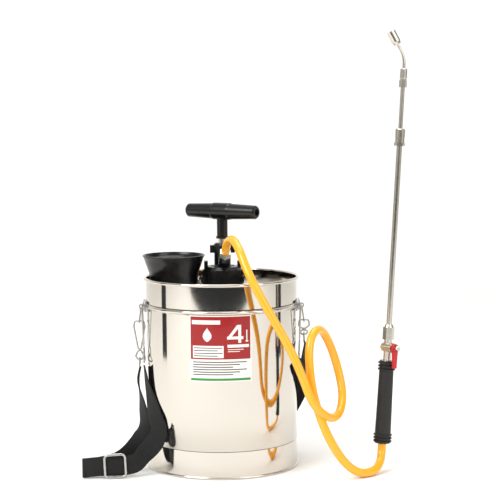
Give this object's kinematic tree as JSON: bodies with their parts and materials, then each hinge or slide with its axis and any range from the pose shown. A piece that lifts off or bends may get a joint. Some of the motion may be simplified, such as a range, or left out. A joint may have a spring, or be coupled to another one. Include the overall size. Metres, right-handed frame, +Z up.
{
  "type": "backpack pressure sprayer",
  "caption": "Polished steel drum sprayer with a hand pump, filling funnel, strap loops, a looped yellow hose and a telescopic spray lance with a bent nozzle.",
  "frame": {"origin": "centre of the drum's base ring on the floor", "axes": "+Z up the drum, -Y the label side, +X the lance side"},
  "size_m": [0.423, 0.2367, 0.5744],
  "materials": {
    "polished_steel": "mirror-polished stainless steel",
    "nickel": "nickel-plated brass",
    "wire": "zinc-plated wire",
    "black_plastic": "moulded black polypropylene",
    "black_rubber": "soft black grip rubber",
    "seal_rubber": "nitrile seal",
    "brass": "turned brass",
    "hose_pvc": "yellow-orange braided PVC hose",
    "red_plastic": "moulded red lever",
    "clear_plastic": "natural polypropylene",
    "mesh": "perforated stainless",
    "label_print": "printed film",
    "webbing": "woven polypropylene webbing"
  },
  "bodies": {
    "tank": {"tank_shell": "polished_steel", "tank_top": "polished_steel", "tank_bottom": "polished_steel", "top_ring": "polished_steel", "base_skirt": "polished_steel", "label_sheet": "label_print", "filler_neck": "polished_steel", "strainer": "mesh", "relief_body": "polished_steel", "pump_neck": "polished_steel", "pump_gasket": "seal_rubber", "pump_cylinder": "clear_plastic", "pump_head": "black_plastic", "cylinder_cap": "black_plastic", "foot_valve_seat": "clear_plastic", "foot_valve_cage": "clear_plastic", "dip_tube": "clear_plastic", "hose_ferrule": "nickel", "hose_barb": "nickel", "hose": "hose_pvc", "lance_grip": "black_rubber", "valve_body": "nickel", "collar_nut": "nickel", "outer_tube": "polished_steel", "slide_bush": "seal_rubber", "lug_left": "wire", "lug_right": "wire", "strap_left": "webbing", "strap_right": "webbing"},
    "funnel": {"funnel": "black_plastic"},
    "plug_seal": {"plug_gasket": "seal_rubber"},
    "filler_plug": {"filler_plug": "black_plastic"},
    "relief_valve": {"relief_pin": "brass", "relief_cap": "brass"},
    "wing_nut": {"wing_nut": "black_plastic"},
    "foot_valve": {"foot_valve_disc": "seal_rubber"},
    "plunger": {"piston": "black_plastic", "piston_cup": "seal_rubber"},
    "pump_handle": {"pump_rod": "polished_steel", "piston_nut": "nickel", "rod_nut": "nickel", "handle_tee": "black_plastic", "handle_grip_left": "black_plastic", "handle_grip_right": "black_plastic"},
    "cock": {"cock_plug": "nickel", "cock_lever": "red_plastic"},
    "lock_nut": {"lock_nut": "nickel"},
    "inner_tube": {"inner_tube": "polished_steel"},
    "union_nut": {"union_nut": "nickel"},
    "nozzle_neck": {"nozzle_neck": "nickel"},
    "nozzle_cap": {"nozzle_cap": "nickel", "nozzle_disc": "nickel"},
    "front_clip_left": {"link_left": "wire", "front_clip_left": "wire"},
    "front_clip_right": {"link_right": "wire", "front_clip_right": "wire"},
    "side_clip_left": {"side_clip_left": "wire"},
    "side_clip_right": {"side_clip_right": "wire"},
    "strap_slider": {"strap_slider": "nickel"}
  },
  "joints": [
    {"name": "funnel_lift", "type": "slide", "parent": "tank", "child": "funnel", "axis": [0, 0, 1], "range_m": [0, 0.04]},
    {"name": "plug_lift", "type": "slide", "parent": "tank", "child": "plug_seal", "axis": [0, 0, 1], "range_m": [0, 0.08]},
    {"name": "plug_turn", "type": "hinge", "parent": "plug_seal", "child": "filler_plug", "pos_m": [-0.063, 0, 0.25], "axis": [0, 0, 1], "continuous": true},
    {"name": "relief_lift", "type": "slide", "parent": "tank", "child": "relief_valve", "axis": [0, 0, 1], "range_m": [0, 0.002], "stiffness_N_per_m": 400, "springref_m": -0.001},
    {"name": "wing_nut_turn", "type": "hinge", "parent": "tank", "child": "wing_nut", "pos_m": [0.002, 0, 0.25], "axis": [0, 0, 1], "range_deg": [0, 45]},
    {"name": "foot_valve_open", "type": "slide", "parent": "tank", "child": "foot_valve", "axis": [0, 0, -1], "range_m": [0, 0.0012], "stiffness_N_per_m": 40, "springref_m": -0.001},
    {"name": "pump_stroke", "type": "slide", "parent": "tank", "child": "plunger", "axis": [0, 0, 1], "range_m": [0, 0.125]},
    {"name": "handle_turn", "type": "hinge", "parent": "plunger", "child": "pump_handle", "pos_m": [0.002, 0, 0.339], "axis": [0, 0, 1], "continuous": true},
    {"name": "cock_turn", "type": "hinge", "parent": "tank", "child": "cock", "pos_m": [0.21716, -0.055, 0.1634], "axis": [0.6157, -0.788, 0], "range_deg": [0, 90]},
    {"name": "lock_nut_turn", "type": "hinge", "parent": "tank", "child": "lock_nut", "pos_m": [0.23272, -0.055, 0.43695], "axis": [0.0568, 0, 0.9984], "continuous": true},
    {"name": "lance_extend", "type": "slide", "parent": "tank", "child": "inner_tube", "axis": [0.0568, 0, 0.9984], "range_m": [-0.045, 0.13]},
    {"name": "union_nut_turn", "type": "hinge", "parent": "inner_tube", "child": "union_nut", "pos_m": [0.23698, -0.055, 0.51183], "axis": [0.0568, 0, 0.9984], "continuous": true},
    {"name": "nozzle_swivel", "type": "hinge", "parent": "inner_tube", "child": "nozzle_neck", "pos_m": [0.23698, -0.055, 0.51183], "axis": [0.0568, 0, 0.9984], "continuous": true},
    {"name": "nozzle_cap_turn", "type": "hinge", "parent": "nozzle_neck", "child": "nozzle_cap", "pos_m": [0.22918, -0.055, 0.55609], "axis": [-0.4655, 0, 0.885], "continuous": true},
    {"name": "front_clip_left_swing", "type": "hinge", "parent": "tank", "child": "front_clip_left", "pos_m": [-0.107, 0, 0.2127], "axis": [0, 1, 0], "range_deg": [0, 25]},
    {"name": "front_clip_right_swing", "type": "hinge", "parent": "tank", "child": "front_clip_right", "pos_m": [0.107, 0, 0.2127], "axis": [0, -1, 0], "range_deg": [0, 25]},
    {"name": "side_clip_left_swing", "type": "hinge", "parent": "tank", "child": "side_clip_left", "pos_m": [-0.10486, -0.02, 0.2127], "axis": [1, 0, 0], "range_deg": [-10, 5]},
    {"name": "side_clip_right_swing", "type": "hinge", "parent": "tank", "child": "side_clip_right", "pos_m": [0.10486, -0.02, 0.2127], "axis": [1, 0, 0], "range_deg": [-10, 5]},
    {"name": "slider_slide", "type": "slide", "parent": "tank", "child": "strap_slider", "axis": [-0.9947, -0.0949, -0.0407], "range_m": [-0.005, 0.005]}
  ]
}
